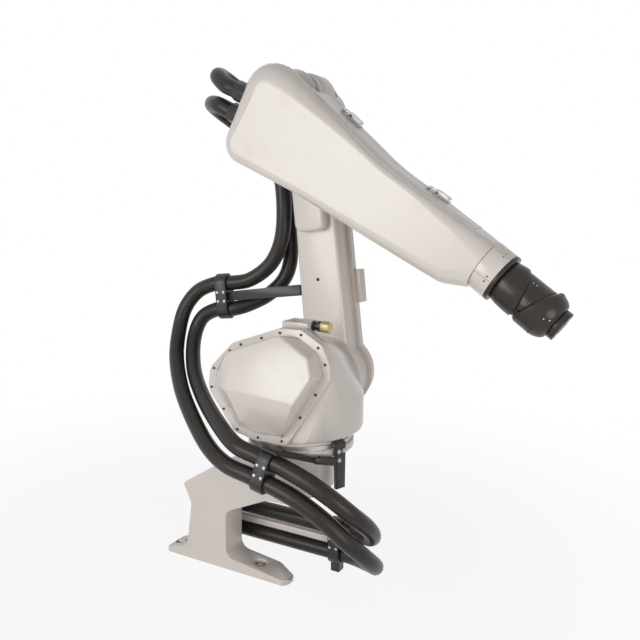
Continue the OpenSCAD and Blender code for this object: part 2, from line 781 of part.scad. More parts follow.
module roll_housing() {
    color(dark) difference() {
        on_wrist(ring_s + wrist_ring_l) rotate_extrude() polygon([
            [0, 0], [roll_r - 8, 0], [roll_r - 2, 28], [roll_r, 60], [roll_r, 130], [0, 130]]);
        past_housing(1);
    }
}

// Dark neck between the two slanted planes, with a round end disc on the bend axis
neck_r = 75;
neck_disc_r = 79;
neck_disc_t = 8;
module roll_neck() {
    color(dark) {
        difference() {
            on_wrist(ring_s + wrist_ring_l) cylinder(r = neck_r, h = roll_l + 60);
            past_housing(-1);
            on_seam() translate([-300, -300, -gap / 2 - neck_disc_t / 2]) cube(600);
        }
        on_seam() translate([0, 0, -gap / 2 - neck_disc_t]) cylinder(r = neck_disc_r, h = neck_disc_t);
    }
}

// Slanted rim, round bulge and taper down to the tool flange
elbow_rim_t = 10;
bulge_s = seam_s + elbow_r * tan(bend_slant) + 3;
module elbow() {
    color(dark) hull() {
        on_seam() translate([0, 0, gap / 2]) cylinder(r = elbow_r, h = elbow_rim_t);
        on_wrist(bulge_s) cylinder(r = elbow_r - 2, h = 8);
        on_wrist((bulge_s + 3 * tool_s) / 4) cylinder(r = elbow_r - 14, h = 1);
        on_wrist(tool_s - gap - 4) cylinder(r = tool_r + 3, h = 4);
    }
}

module tool_flange() {
    color(dark) on_wrist(tool_s) difference() {
        cylinder(r = tool_r, h = tool_t);
        translate([0, 0, -over]) cylinder(r = tool_bore_r, h = tool_t + 2 * over);
        for (k = [0:5]) rotate([0, 0, 60 * k]) translate([tool_pcd / 2, 0, -over])
            cylinder(r = tool_hole_r, h = tool_t + 2 * over);
    }
}

base_casting();
bearing_ring();
inlet_bracket();
inlet_glands();
hose_support_bar();
base_hose_clamp();
base_hose_upper();
base_hose_lower();
loop_hose_upper();
loop_hose_lower();
turret_flange();
turret_housing();
cover_flange();
motor_cover();
top_box();
cable_gland();
turret_bracket();
turret_hose_clamp();
riser_hose_outer();
riser_hose_inner();
arm_flange();
inner_arm();
j3_hub();
arm_motor_cover();
arm_side_box();
arm_hose_bar();
arm_hose_clamp();
upper_hose_outer();
upper_hose_inner();
forearm_shell();
forearm_lid();
lid_latches();
j3_seat();
wrist_collar();
rear_glands();
wrist_ring();
roll_housing();
roll_neck();
elbow();
tool_flange();
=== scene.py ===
"""Dresses the painting robot arm: rounded castings, hoses, bolts, finishes and a plain studio."""
import json
import math

import bpy
from bpy.props import FloatProperty, FloatVectorProperty, IntProperty, PointerProperty
from mathutils import Matrix, Vector

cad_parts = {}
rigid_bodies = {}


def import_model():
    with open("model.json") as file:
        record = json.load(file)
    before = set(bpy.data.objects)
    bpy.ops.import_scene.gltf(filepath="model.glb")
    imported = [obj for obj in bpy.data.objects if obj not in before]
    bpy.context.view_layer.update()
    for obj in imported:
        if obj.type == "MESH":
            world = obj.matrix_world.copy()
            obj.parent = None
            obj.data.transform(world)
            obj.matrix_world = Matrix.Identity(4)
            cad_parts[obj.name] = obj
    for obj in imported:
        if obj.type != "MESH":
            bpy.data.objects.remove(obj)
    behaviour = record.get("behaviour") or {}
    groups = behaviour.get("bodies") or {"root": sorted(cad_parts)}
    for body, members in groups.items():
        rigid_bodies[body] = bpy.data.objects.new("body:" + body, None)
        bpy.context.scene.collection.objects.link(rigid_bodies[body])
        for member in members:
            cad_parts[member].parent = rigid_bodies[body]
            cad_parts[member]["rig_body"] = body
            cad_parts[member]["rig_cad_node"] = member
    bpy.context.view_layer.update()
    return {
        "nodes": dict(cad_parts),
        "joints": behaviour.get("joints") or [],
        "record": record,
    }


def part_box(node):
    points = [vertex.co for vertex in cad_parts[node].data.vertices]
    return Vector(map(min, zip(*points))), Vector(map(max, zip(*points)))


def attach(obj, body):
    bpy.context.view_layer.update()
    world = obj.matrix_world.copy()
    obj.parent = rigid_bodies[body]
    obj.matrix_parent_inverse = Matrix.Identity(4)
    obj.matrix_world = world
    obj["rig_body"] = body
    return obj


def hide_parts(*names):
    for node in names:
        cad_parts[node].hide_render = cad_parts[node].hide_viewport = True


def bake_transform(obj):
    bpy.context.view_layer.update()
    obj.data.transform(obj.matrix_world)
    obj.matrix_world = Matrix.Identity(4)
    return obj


bl_info = {
    "name": "Painting robot arm",
    "version": (1, 0, 0),
    "blender": (4, 5, 0),
    "location": "View3D > Sidebar > Robot",
    "description": "Dresses the painting robot arm and sets up its studio",
    "category": "Object",
}

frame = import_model()

# Joints of the frame, in metres
JOINTS = {joint["name"]: joint for joint in frame["joints"]}


def joint_point(name):
    return Vector(JOINTS[name]["pos_m"])


def joint_axis(name):
    return Vector(JOINTS[name]["axis"]).normalized()


WAIST = joint_point("waist")
SHOULDER = joint_point("shoulder")
PIVOT = joint_point("forearm_pivot")
ACROSS = Vector((0, 1, 0))
UP = Vector((0, 0, 1))


def placed(origin, z_axis, y_axis=ACROSS):
    """A place with its Z along one axis and its Y as near as it can be to another."""
    z = Vector(z_axis).normalized()
    x = Vector(y_axis).cross(z)
    if x.length < 1e-6:
        x = Vector((1, 0, 0)).cross(z)
    x.normalize()
    y = z.cross(x)
    place = Matrix((x, y, z)).transposed().to_4x4()
    place.translation = origin
    return place


# Places to model in: the forearm, with X along it and its origin on the third axis, and the
# middle of the second axis
FORE_PITCH = math.radians(32.4)
FORE_PLACE = Matrix.Translation((PIVOT.x, 0, PIVOT.z)) @ Matrix.Rotation(FORE_PITCH, 4, "Y")
COVER_PLACE = Matrix.Translation((SHOULDER.x, 0, SHOULDER.z))


# Driving sizes and colours

class RobotColours(bpy.types.PropertyGroup):
    """Colours of the robot's finishes."""
    paint: FloatVectorProperty(name="Paint", description="Warm white paint of castings and covers",
                               subtype="COLOR", size=4, default=(0.74, 0.68, 0.63, 1))
    dust: FloatVectorProperty(name="Dust", description="Dull tone where paint has aged",
                              subtype="COLOR", size=4, default=(0.55, 0.49, 0.43, 1))
    hose: FloatVectorProperty(name="Hose", description="Black-brown hose cover",
                              subtype="COLOR", size=4, default=(0.024, 0.020, 0.017, 1))
    hose_worn: FloatVectorProperty(name="Worn hose", description="Rubbed hose cover",
                                   subtype="COLOR", size=4, default=(0.050, 0.042, 0.036, 1))
    black: FloatVectorProperty(name="Black", description="Black paint of brackets and clamps",
                               subtype="COLOR", size=4, default=(0.014, 0.012, 0.011, 1))
    wrist: FloatVectorProperty(name="Wrist", description="Dark gloss of the wrist",
                               subtype="COLOR", size=4, default=(0.021, 0.016, 0.0125, 1))
    steel: FloatVectorProperty(name="Steel", description="Bare machined steel",
                               subtype="COLOR", size=4, default=(0.58, 0.57, 0.55, 1))
    brass: FloatVectorProperty(name="Brass", description="Dull brass of the cable gland",
                               subtype="COLOR", size=4, default=(0.66, 0.54, 0.30, 1))


class EdgeSizes(bpy.types.PropertyGroup):
    """Radii of the rounded edges."""
    casting: FloatProperty(name="Casting edge", description="Edge radius of the base casting",
                           default=0.004, unit="LENGTH")
    cover: FloatProperty(name="Cover crease", description="Radius of the motor cover's creases",
                         default=0.007, unit="LENGTH")
    flange: FloatProperty(name="Flange edge", description="Edge radius of bolted flanges",
                          default=0.003, unit="LENGTH")
    arm: FloatProperty(name="Arm edge", description="Edge radius of the lower arm",
                       default=0.014, unit="LENGTH")
    small: FloatProperty(name="Small edge", description="Edge radius of small brackets and boxes",
                         default=0.002, unit="LENGTH")


class BoltSizes(bpy.types.PropertyGroup):
    """Sizes of the screws and bolts."""
    flange_r: FloatProperty(name="Flange screw", description="Head radius of the cover's screws",
                            default=0.0046, unit="LENGTH")
    hub_r: FloatProperty(name="Hub screw", description="Head radius of the screws at the third axis",
                         default=0.0075, unit="LENGTH")
    panel_r: FloatProperty(name="Panel bolt", description="Head radius of the lower arm's bolt",
                           default=0.0045, unit="LENGTH")
    clamp_r: FloatProperty(name="Clamp bolt", description="Head radius of the hose clamps' bolts",
                           default=0.00375, unit="LENGTH")
    hanger_r: FloatProperty(name="Hanger bolt", description="Head radius of the hanging bracket's bolts",
                            default=0.00525, unit="LENGTH")
    foot_r: FloatProperty(name="Floor bolt", description="Head radius of the floor bolts",
                          default=0.0173, unit="LENGTH")


class HoseSizes(bpy.types.PropertyGroup):
    """Sizes of the hoses."""
    radius: FloatProperty(name="Hose radius", description="Outside radius of the hoses",
                          default=0.033, unit="LENGTH")
    round_steps: IntProperty(name="Round steps", description="Fineness of a hose's round section",
                             default=7)


class StudioSettings(bpy.types.PropertyGroup):
    """Camera, light and floor."""
    eye: FloatVectorProperty(name="Eye", description="Place of the camera", subtype="TRANSLATION",
                             unit="LENGTH", default=(1.8171, -2.5091, 1.6160))
    yaw: FloatProperty(name="Yaw", description="Turn of the view to the left", subtype="ANGLE",
                       default=math.radians(29.2))
    pitch: FloatProperty(name="Pitch", description="Downward tilt of the view", subtype="ANGLE",
                         default=math.radians(9.7))
    roll: FloatProperty(name="Roll", description="Turn about the line of sight", subtype="ANGLE",
                        default=math.radians(0.7))
    lens: FloatProperty(name="Lens", description="Focal length in millimetres", default=42.28)
    floor: FloatVectorProperty(name="Floor", description="Colour of the floor", subtype="COLOR",
                               size=4, default=(0.92, 0.92, 0.92, 1))
    sky: FloatProperty(name="Sky", description="Strength of the all-round light", default=0.21)
    key: FloatProperty(name="Key light", description="Power of the large light in front",
                       unit="POWER", default=101)
    fill: FloatProperty(name="Fill light", description="Power of the low light at the right",
                        unit="POWER", default=62)


# Shader maths

class Wire:
    """One socket of a shader; sums and products with it add Math nodes."""

    def __init__(self, tree, socket):
        self.tree = tree
        self.socket = socket

    def maths(self, operation, first, second):
        made = self.tree.nodes.new("ShaderNodeMath")
        made.operation = operation
        plug(self.tree, made.inputs[0], first)
        plug(self.tree, made.inputs[1], second)
        return Wire(self.tree, made.outputs[0])

    def __add__(self, other):
        return self.maths("ADD", self, other)

    def __sub__(self, other):
        return self.maths("SUBTRACT", self, other)

    def __rsub__(self, other):
        return self.maths("SUBTRACT", other, self)

    def __mul__(self, other):
        return self.maths("MULTIPLY", self, other)

    __radd__ = __add__
    __rmul__ = __mul__


def plug(tree, socket, value):
    """Links a wire to a socket, or sets a plain value on it."""
    if isinstance(value, Wire):
        tree.links.new(value.socket, socket)
    else:
        socket.default_value = value


class Finish:
    """A material under construction."""

    def __init__(self, name):
        self.material = bpy.data.materials.new(name)
        self.material.use_nodes = True
        self.tree = self.material.node_tree
        self.shader = self.tree.nodes["Principled BSDF"]

    def node(self, kind, settings=None, inputs=None, output=0):
        """Adds a node, makes its settings, then plugs its sockets."""
        made = self.tree.nodes.new(kind)
        for name, value in (settings or {}).items():
            setattr(made, name, value)
        for name, value in (inputs or {}).items():
            plug(self.tree, made.inputs[name], value)
        return Wire(self.tree, made.outputs[output])

    def place(self, scale=(1, 1, 1)):
        here = self.node("ShaderNodeTexCoord", output="Object")
        return self.node("ShaderNodeMapping", None, {"Vector": here, "Scale": scale})

    def along_surface(self, scale):
        here = self.node("ShaderNodeUVMap", {"uv_map": "UVMap"})
        return self.node("ShaderNodeMapping", None, {"Vector": here, "Scale": scale})

    def noise(self, place, scale, detail=2.0, rough=0.5):
        return self.node("ShaderNodeTexNoise", None, {
            "Vector": place, "Scale": scale, "Detail": detail, "Roughness": rough})

    def band(self, value, low, high):
        """Nought below low, one above high and a smooth climb between."""
        return self.node("ShaderNodeMapRange", {"interpolation_type": "SMOOTHSTEP"}, {
            "Value": value, "From Min": low, "From Max": high})

    def mix(self, share, first, second):
        """Mixes two colours; the Mix node's sockets for them have no names of their own."""
        return self.node("ShaderNodeMix", {"data_type": "RGBA"}, {0: share, 6: first, 7: second}, 2)

    def bump(self, height, strength, distance):
        return self.node("ShaderNodeBump", None, {
            "Height": height, "Strength": strength, "Distance": distance})

    def surface(self, **sockets):
        for name, value in sockets.items():
            socket = name.replace("_", " ").title().replace("Ior", "IOR")
            plug(self.tree, self.shader.inputs[socket], value)


def toned(colour, share):
    """A colour made lighter or darker."""
    return tuple(share * c for c in colour[:3]) + (1,)


def white_paint(finish, colours):
    """Satin paint: soft blotches, a fine orange peel and a little dullness low down."""
    place = finish.place()
    cloud = finish.noise(place, 3.1, 3)
    stain = finish.band(finish.noise(place, 14.0, 6, 0.62), 0.56, 0.78)
    peel = finish.noise(place, 420.0, 1.5)
    height = finish.node("ShaderNodeSeparateXYZ", None, {"Vector": place}, "Z")
    low = 1 - finish.band(height, 0.0, 0.5)
    age = stain * 0.10 + cloud * 0.10 + low * 0.10
    finish.surface(
        base_color=finish.mix(age, tuple(colours.paint), tuple(colours.dust)),
        roughness=0.24 + cloud * 0.10 + stain * 0.12 + low * 0.08,
        coat_weight=0.25 - stain * 0.15,
        normal=finish.bump(peel, 0.10, 0.0006))
    finish.surface(coat_roughness=0.18)


def hose_cover(finish, colours):
    """Smooth dark hose: rubbed patches, a fine cloth grain and long soft highlights."""
    rub = finish.band(finish.noise(finish.along_surface((9.0, 2.0, 1.0)), 3.0, 5, 0.6), 0.48, 0.75)
    cloth = finish.noise(finish.along_surface((260.0, 60.0, 1.0)), 1.0, 2)
    slow = finish.noise(finish.along_surface((1.0, 1.0, 1.0)), 6.0, 3)
    finish.surface(
        base_color=finish.mix(rub * 0.55, tuple(colours.hose), tuple(colours.hose_worn)),
        roughness=0.30 + rub * 0.14 + slow * 0.10,
        normal=finish.bump(cloth, 0.12, 0.0008))
    finish.surface(specular_ior_level=0.3)


def black_paint(finish, colours):
    """Black satin paint with rubbed, greyer patches."""
    place = finish.place()
    rub = finish.band(finish.noise(place, 38.0, 6, 0.65), 0.55, 0.8)
    grain = finish.noise(place, 600.0, 2)
    worn = toned(colours.black, 4)
    finish.surface(
        base_color=finish.mix(rub * 0.6, tuple(colours.black), worn),
        roughness=0.38 + rub * 0.18,
        normal=finish.bump(grain, 0.12, 0.0005))


def wrist_gloss(finish, colours):
    """Dark gloss with a faint grain and handled patches."""
    place = finish.place()
    smear = finish.noise(place, 22.0, 4, 0.6)
    grain = finish.noise(place, 900.0, 2)
    lighter = toned(colours.wrist, 2.2)
    finish.surface(
        base_color=finish.mix(smear * 0.5, tuple(colours.wrist), lighter),
        roughness=0.27 + smear * 0.16,
        coat_weight=0.06 + smear * 0.14,
        normal=finish.bump(grain, 0.06, 0.0004))
    finish.surface(coat_roughness=0.14, specular_ior_level=0.3)


def bare_steel(finish, colours):
    """Machined steel with fine scratches and duller stains."""
    place = finish.place((1.0, 1.0, 9.0))
    brush = finish.noise(place, 260.0, 3)
    stain = finish.noise(finish.place(), 30.0, 5)
    dull = toned(colours.steel, 0.55)
    finish.surface(
        base_color=finish.mix(stain * 0.6, tuple(colours.steel), dull),
        metallic=0.85 + stain * 0.1,
        roughness=0.24 + stain * 0.2 + brush * 0.1,
        normal=finish.bump(brush, 0.08, 0.0003))


def dull_brass(finish, colours):
    """Brass gone dull, darker in patches."""
    place = finish.place()
    stain = finish.noise(place, 60.0, 5)
    dull = toned(colours.brass, 0.6)
    finish.surface(
        base_color=finish.mix(stain, tuple(colours.brass), dull),
        metallic=0.55 + stain * 0.2,
        roughness=0.30 + stain * 0.2,
        normal=finish.bump(stain, 0.08, 0.0004))


# Each slot's material: its name and the function that makes it
FINISHES = {
    "white_paint": ("warm white paint", white_paint),
    "hose_rubber": ("hose cover", hose_cover),
    "black_metal": ("black satin paint", black_paint),
    "wrist_dark": ("wrist gloss", wrist_gloss),
    "bare_steel": ("machined steel", bare_steel),
    "brass": ("dull brass", dull_brass),
}
NODE_SLOT = {part["node"]: part["material_slot"] for part in frame["record"]["subparts"]}
NODE_BODY = {node: body for body, nodes in frame["record"]["behaviour"]["bodies"].items()
             for node in nodes}


def put_finish(piece, slot):
    """Gives a piece its slot's material, which is made the first time that it is asked for."""
    name, recipe = FINISHES[slot]
    material = bpy.data.materials.get(name)
    if material is None:
        finish = Finish(name)
        recipe(finish, bpy.context.scene.robot_colours)
        material = finish.material
    piece.data.materials.clear()
    piece.data.materials.append(material)


# Modelling steps

def deselect():
    bpy.ops.object.select_all(action="DESELECT")


def only(piece):
    """Selects one object alone and makes it the active one."""
    deselect()
    piece.select_set(True)
    bpy.context.view_layer.objects.active = piece


def named(name):
    """Names the object just added, and its mesh."""
    piece = bpy.context.active_object
    piece.name = name
    piece.data.name = name
    return piece


def settle(piece):
    """Puts a piece's place into its mesh."""
    only(piece)
    bpy.ops.object.transform_apply(location=True, rotation=True, scale=True)


def modify(piece, kind, **settings):
    """Adds a modifier and applies it."""
    only(piece)
    bpy.ops.object.modifier_add(type=kind)
    modifier = piece.modifiers[-1]
    for name, value in settings.items():
        setattr(modifier, name, value)
    bpy.ops.object.modifier_apply(modifier=modifier.name)


def soften(piece, radius, steps=3, from_angle=30):
    """Rounds a piece's sharp edges and shades it smooth between them."""
    modify(piece, "BEVEL", width=radius, segments=steps, limit_method="ANGLE",
           angle_limit=math.radians(from_angle), use_clamp_overlap=False, miter_outer="MITER_ARC")
    shade(piece)


def shade(piece, angle=35):
    only(piece)
    bpy.ops.object.shade_smooth_by_angle(angle=math.radians(angle))


def start_editing():
    bpy.ops.object.mode_set(mode="EDIT")


def done_editing():
    bpy.ops.object.mode_set(mode="OBJECT")


def pick_faces(piece, wanted):
    """Goes into edit mode with only the faces selected that a test picks."""
    only(piece)
    start_editing()
    bpy.ops.mesh.select_mode(type="FACE")
    bpy.ops.mesh.select_all(action="DESELECT")
    done_editing()
    for face in piece.data.polygons:
        face.select = wanted(face)
    start_editing()


def face_outwards():
    """Turns every face outwards and ends the editing."""
    bpy.ops.mesh.select_all(action="SELECT")
    bpy.ops.mesh.normals_make_consistent(inside=False)
    done_editing()


def copy_of(node, name, flat_angle=0.6):
    """A copy of a solid to work on, with its loose triangles merged into faces."""
    only(frame["nodes"][node])
    bpy.ops.object.duplicate()
    piece = named(name)
    piece.parent = None
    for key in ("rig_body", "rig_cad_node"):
        del piece[key]
    piece.data.materials.clear()
    start_editing()
    bpy.ops.mesh.select_all(action="SELECT")
    bpy.ops.mesh.customdata_custom_splitnormals_clear()
    bpy.ops.mesh.remove_doubles(threshold=1e-5)
    bpy.ops.mesh.dissolve_limited(angle_limit=math.radians(flat_angle))
    done_editing()
    return piece


def hand_over(piece, body, slot, nodes=()):
    """Gives a finished piece its material, its body and the solids that it stands for."""
    put_finish(piece, slot)
    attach(piece, body)
    if nodes:
        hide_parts(*nodes)
    return piece


def dress(node, name, radius, steps=3, from_angle=30, flat_angle=0.6):
    """Stands a rounded copy in a solid's place."""
    piece = copy_of(node, name, flat_angle)
    soften(piece, radius, steps, from_angle)
    return hand_over(piece, NODE_BODY[node], NODE_SLOT[node], nodes=[node])


def millimetres(*points):
    return [Vector(point) / 1000 for point in points]


def rounded(corners, steps=10):
    """A closed outline from corners of x, z and radius, with an arc at each corner."""
    outline = []
    for i, (x, z, radius) in enumerate(corners):
        here = Vector((x, z))
        before = (Vector(corners[i - 1][:2]) - here).normalized()
        after = (Vector(corners[(i + 1) % len(corners)][:2]) - here).normalized()
        half = before.angle(after) / 2
        centre = here + (before + after).normalized() * radius / math.sin(half)
        first = here + before * radius / math.tan(half) - centre
        last = here + after * radius / math.tan(half) - centre
        turn = math.atan2(first.x * last.y - first.y * last.x, first.dot(last))
        for k in range(steps + 1):
            spin = Matrix.Rotation(turn * k / steps, 2)
            outline.append(centre + spin @ first)
    return outline


def slab(name, outline, near, far):
    """A plate with the given outline in X and Z, pushed from one Y to another."""
    deselect()
    bpy.ops.mesh.primitive_circle_add(vertices=len(outline), radius=1, fill_type="NGON")
    piece = named(name)
    for vertex, point in zip(piece.data.vertices, outline):
        vertex.co = (point.x, near, point.y)
    pick_faces(piece, lambda face: True)
    bpy.ops.mesh.extrude_region_move(TRANSFORM_OT_translate={"value": (0, far - near, 0)})
    face_outwards()
    return piece


# Shares of a screw head's radius or height
HEX_RIM, HEX_CROWN = 0.16, 0.12
HEAD_RIM, HEAD_CROWN = 0.14, 0.10
SOCKET_RIM, SOCKET_DEPTH = 0.34, 0.55
WASHER_R = 1.55


def screw(name, radius, height, sides=20, washer=0.0, hexagon=False):
    """One screw at the origin with its head along Z: a socket head, or a hexagon on a washer."""
    deselect()
    bpy.ops.mesh.primitive_cylinder_add(vertices=6 if hexagon else sides, radius=radius,
                                        depth=height, location=(0, 0, height / 2 + washer))
    piece = named(name)
    settle(piece)
    top = height + washer
    pick_faces(piece, lambda face: face.center.z > top - 1e-5)
    if hexagon:
        bpy.ops.mesh.inset(thickness=radius * HEX_RIM)
        bpy.ops.transform.translate(value=(0, 0, height * HEX_CROWN))
    else:
        bpy.ops.mesh.inset(thickness=radius * HEAD_RIM)
        bpy.ops.transform.translate(value=(0, 0, height * HEAD_CROWN))
        bpy.ops.mesh.inset(thickness=radius * SOCKET_RIM)
        sunk = (0, 0, -height * SOCKET_DEPTH)
        bpy.ops.mesh.extrude_region_move(TRANSFORM_OT_translate={"value": sunk})
    done_editing()
    if washer:
        deselect()
        bpy.ops.mesh.primitive_cylinder_add(vertices=28, radius=radius * WASHER_R, depth=washer,
                                            location=(0, 0, washer / 2))
        plate = named(name + "_washer")
        settle(plate)
        soften(plate, washer * 0.25, 2)
        piece = joined([piece, plate], name)
    shade(piece, 40)
    return piece


def turned(name, profile, place, sides=48):
    """A round piece: a profile of radius and height in millimetres, spun about a place's Z."""
    deselect()
    bpy.ops.mesh.primitive_circle_add(vertices=len(profile), radius=1)
    piece = named(name)
    for vertex, (radius, height) in zip(piece.data.vertices, profile):
        vertex.co = (radius / 1000, 0, height / 1000)
    start_editing()
    bpy.ops.mesh.select_all(action="SELECT")
    bpy.ops.mesh.spin(steps=sides, angle=math.tau, center=(0, 0, 0), axis=(0, 0, 1))
    bpy.ops.mesh.select_all(action="SELECT")
    bpy.ops.mesh.remove_doubles(threshold=1e-6)
    bpy.ops.mesh.delete_loose(use_edges=True)
    face_outwards()
    shade(piece, 32)
    piece.matrix_world = place
    settle(piece)
    return piece


def joined(pieces, name):
    """One piece from several."""
    deselect()
    for piece in pieces:
        piece.select_set(True)
    bpy.context.view_layer.objects.active = pieces[0]
    bpy.ops.object.join()
    return named(name)


def set_out(pattern, places, name):
    """Copies a modelled shape to each place and joins the copies into one piece."""
    copies = []
    for place in places:
        only(pattern)
        bpy.ops.object.duplicate()
        copy = bpy.context.active_object
        copy.matrix_world = place
        copies.append(copy)
    piece = joined(copies, name)
    settle(piece)
    bpy.data.objects.remove(pattern)
    return piece


class RobotStep:
    """What the dressing operators share."""
    bl_options = {"REGISTER", "UNDO"}

    def sizes(self, context):
        return context.scene.robot_edges, context.scene.robot_bolts


# Base

class ROBOT_OT_base(RobotStep, bpy.types.Operator):
    """Round the base casting and bolt its foot down"""
    bl_idname = "robot.base"
    bl_label = "Base"
    recess_z = 0.018
    head_h = 0.013
    washer_h = 0.004

    def execute(self, context):
        edges, bolts = self.sizes(context)
        dress("base_casting", "base", edges.casting, 2)
        mounts = {mount["name"]: mount for mount in frame["record"]["mounts"]}
        pattern = mounts["foot_bolts"]
        middle = Vector(pattern["pos_m"]) + Vector((0, 0, self.recess_z))
        reach = Vector((pattern["dims"]["spacing_x_mm"] / 2000, 0, 0))
        places = [Matrix.Translation(middle + side * reach) for side in (-1, 1)]
        bolt = screw("floor_bolt", bolts.foot_r, self.head_h, washer=self.washer_h, hexagon=True)
        hand_over(set_out(bolt, places, "floor_bolts"), "base", "bare_steel")
        dress("inlet_bracket", "inlet_plate", edges.small, 2)
        dress("hose_support_bar", "support_bar", edges.small, 2)
        dress("inlet_glands", "inlet_fittings", edges.small, 2)
        return {"FINISHED"}


# Turret

# Corners of the cover's flange: X and Z from the second axis, and radius
FLANGE_CORNERS = [
    (0.062, -0.176, 0.034), (-0.083, -0.181, 0.034), (-0.177, -0.160, 0.050),
    (-0.300, -0.006, 0.060), (-0.290, 0.082, 0.060), (-0.183, 0.190, 0.060),
    (0.025, 0.266, 0.050), (0.122, 0.271, 0.034), (0.211, 0.221, 0.030),
    (0.239, 0.160, 0.030), (0.246, 0.100, 0.022),
]
PLUG_PROFILE = [(0, 0), (19, 0), (19, 8), (14, 10), (14, 22), (20, 24), (20, 36), (0, 36)]
# Screws round the cover's flange, in X and Z from the second axis
SCREW_SPOTS = [
    (-0.059, 0.233), (0.037, 0.262), (0.134, 0.262), (0.196, 0.222), (0.231, 0.156), (0.204, 0.042),
    (0.138, -0.069), (0.042, -0.165), (-0.063, -0.163), (-0.160, -0.150), (-0.222, -0.082),
    (-0.283, 0.004), (-0.270, 0.082), (-0.200, 0.160), (-0.140, 0.200),
]


def drawn_in(outline, step, parts=8):
    """Points along a clockwise outline moved inwards."""
    moved = []
    for i, point in enumerate(outline):
        after = outline[(i + 1) % len(outline)]
        along = (after - outline[i - 1]).normalized()
        inwards = step * Vector((along.y, -along.x))
        moved += [point.lerp(after, k / parts) + inwards for k in range(parts)]
    return moved


class ROBOT_OT_turret(RobotStep, bpy.types.Operator):
    """Round the turret, its gem-like cover and flange, and screw the flange on"""
    bl_idname = "robot.turret"
    bl_label = "Turret"
    screw_inset = 0.015
    screw_h = 0.004
    gland_stretch = (0.9, 1.4, 1.4, 1)

    def execute(self, context):
        edges, bolts = self.sizes(context)
        dress("turret_housing", "turret_drum", edges.flange, 2, 40, 1.0)
        dress("motor_cover", "gem_cover", edges.cover, 4, 8, 2.5)
        dress("cover_flange", "gem_flange", edges.flange, 3)
        dress("top_box", "junction_box", edges.small, 2)
        self.gland(edges)
        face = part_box("cover_flange")[0].y
        line = drawn_in(rounded(FLANGE_CORNERS), self.screw_inset)
        spots = [min(line, key=lambda p: (p - Vector(spot)).length) for spot in SCREW_SPOTS]
        places = [COVER_PLACE @ placed((p.x, face, p.y), -ACROSS, UP) for p in spots]
        head = screw("cover_screw", bolts.flange_r, self.screw_h)
        hand_over(set_out(head, places, "cover_screws"), "turret", "black_metal")
        return {"FINISHED"}

    def gland(self, edges):
        """A black plug in the gland solid's place, with the brass gland on its end."""
        low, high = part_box("cable_gland")
        root = Vector((low.x, (low.y + high.y) / 2, (low.z + high.z) / 2))
        gland = copy_of("cable_gland", "brass_gland")
        plug_end = root + Vector((PLUG_PROFILE[-1][1] / 1000, 0, 0))
        gland.matrix_world = (Matrix.Translation(plug_end) @ Matrix.Diagonal(self.gland_stretch)
                              @ Matrix.Translation(-root))
        settle(gland)
        soften(gland, edges.small, 2)
        hand_over(gland, "turret", "brass")
        plug_part = turned("gland_plug", PLUG_PROFILE, placed(root, (1, 0, 0)), 32)
        hand_over(plug_part, "turret", "black_metal", nodes=["cable_gland"])


# Lower arm

# Radius and height in millimetres; the flange's face starts at the fifth point
HUB_PROFILE = [(0, 0), (62, 0), (64, 2), (64, 53), (91, 53), (94, 56), (94, 79), (0, 79)]


class ROBOT_OT_lower_arm(RobotStep, bpy.types.Operator):
    """Round the lower arm and the pieces on it"""
    bl_idname = "robot.lower_arm"
    bl_label = "Lower arm"
    cover_edge = 0.016
    panel_bolt = (0.2831, 1.2534)
    panel_bolt_h = 0.005
    panel_washer_h = 0.0015
    hub_pcr = 0.079
    hub_bolts = 9
    hub_turn = math.radians(25)
    hub_bolt_h = 0.008

    def execute(self, context):
        edges, bolts = self.sizes(context)
        dress("inner_arm", "arm_casting", edges.arm, 4)
        dress("arm_flange", "arm_ring", edges.flange, 3)
        self.hub(bolts)
        dress("arm_motor_cover", "arm_cover", self.cover_edge, 4)
        dress("arm_side_box", "side_box", edges.flange, 3)
        x, z = self.panel_bolt
        spot = placed((x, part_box("inner_arm")[0].y, z), -ACROSS, UP)
        bolt = screw("panel_bolt", bolts.panel_r, self.panel_bolt_h, washer=self.panel_washer_h,
                     hexagon=True)
        hand_over(set_out(bolt, [spot], "panel_bolts"), "lower_arm", "black_metal")
        return {"FINISHED"}

    def hub(self, bolts):
        """A slim hub on a bolted flange at the third axis."""
        root = Vector((PIVOT.x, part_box("j3_hub")[0].y, PIVOT.z))
        hub = turned("pivot_hub", HUB_PROFILE, placed(root, ACROSS, UP), 64)
        hand_over(hub, "lower_arm", "white_paint", nodes=["j3_hub"])
        face = root + ACROSS * HUB_PROFILE[4][1] / 1000
        turns = [self.hub_turn + math.tau * k / self.hub_bolts for k in range(self.hub_bolts)]
        places = [placed(face + self.hub_pcr * Vector((math.cos(a), 0, math.sin(a))), -ACROSS, UP)
                  for a in turns]
        bolt = screw("hub_bolt", bolts.hub_r, self.hub_bolt_h)
        hand_over(set_out(bolt, places, "hub_bolts"), "lower_arm", "bare_steel")


# Forearm

# The collar in millimetres: radius, middle along the forearm and height from the third axis,
# and the turns of its slits in degrees from the near side
COLLAR_R = 90.0
COLLAR_MIDDLE = 1082.0
COLLAR_DROP = -65.0
COLLAR_SLITS = (-8, 60, 120, 188)
# Latches on the lid: millimetres along, across and above the third axis, and tilt in degrees
LATCHES = ((285.0, 52.3, 77.9, 9.8), (730.0, 48.8, 28.5, 0.6))


def ring(x, z, radius, sides=20):
    """A round outline."""
    turns = [math.tau * k / sides for k in range(sides)]
    return [(x + radius * math.cos(a), z + radius * math.sin(a)) for a in turns]


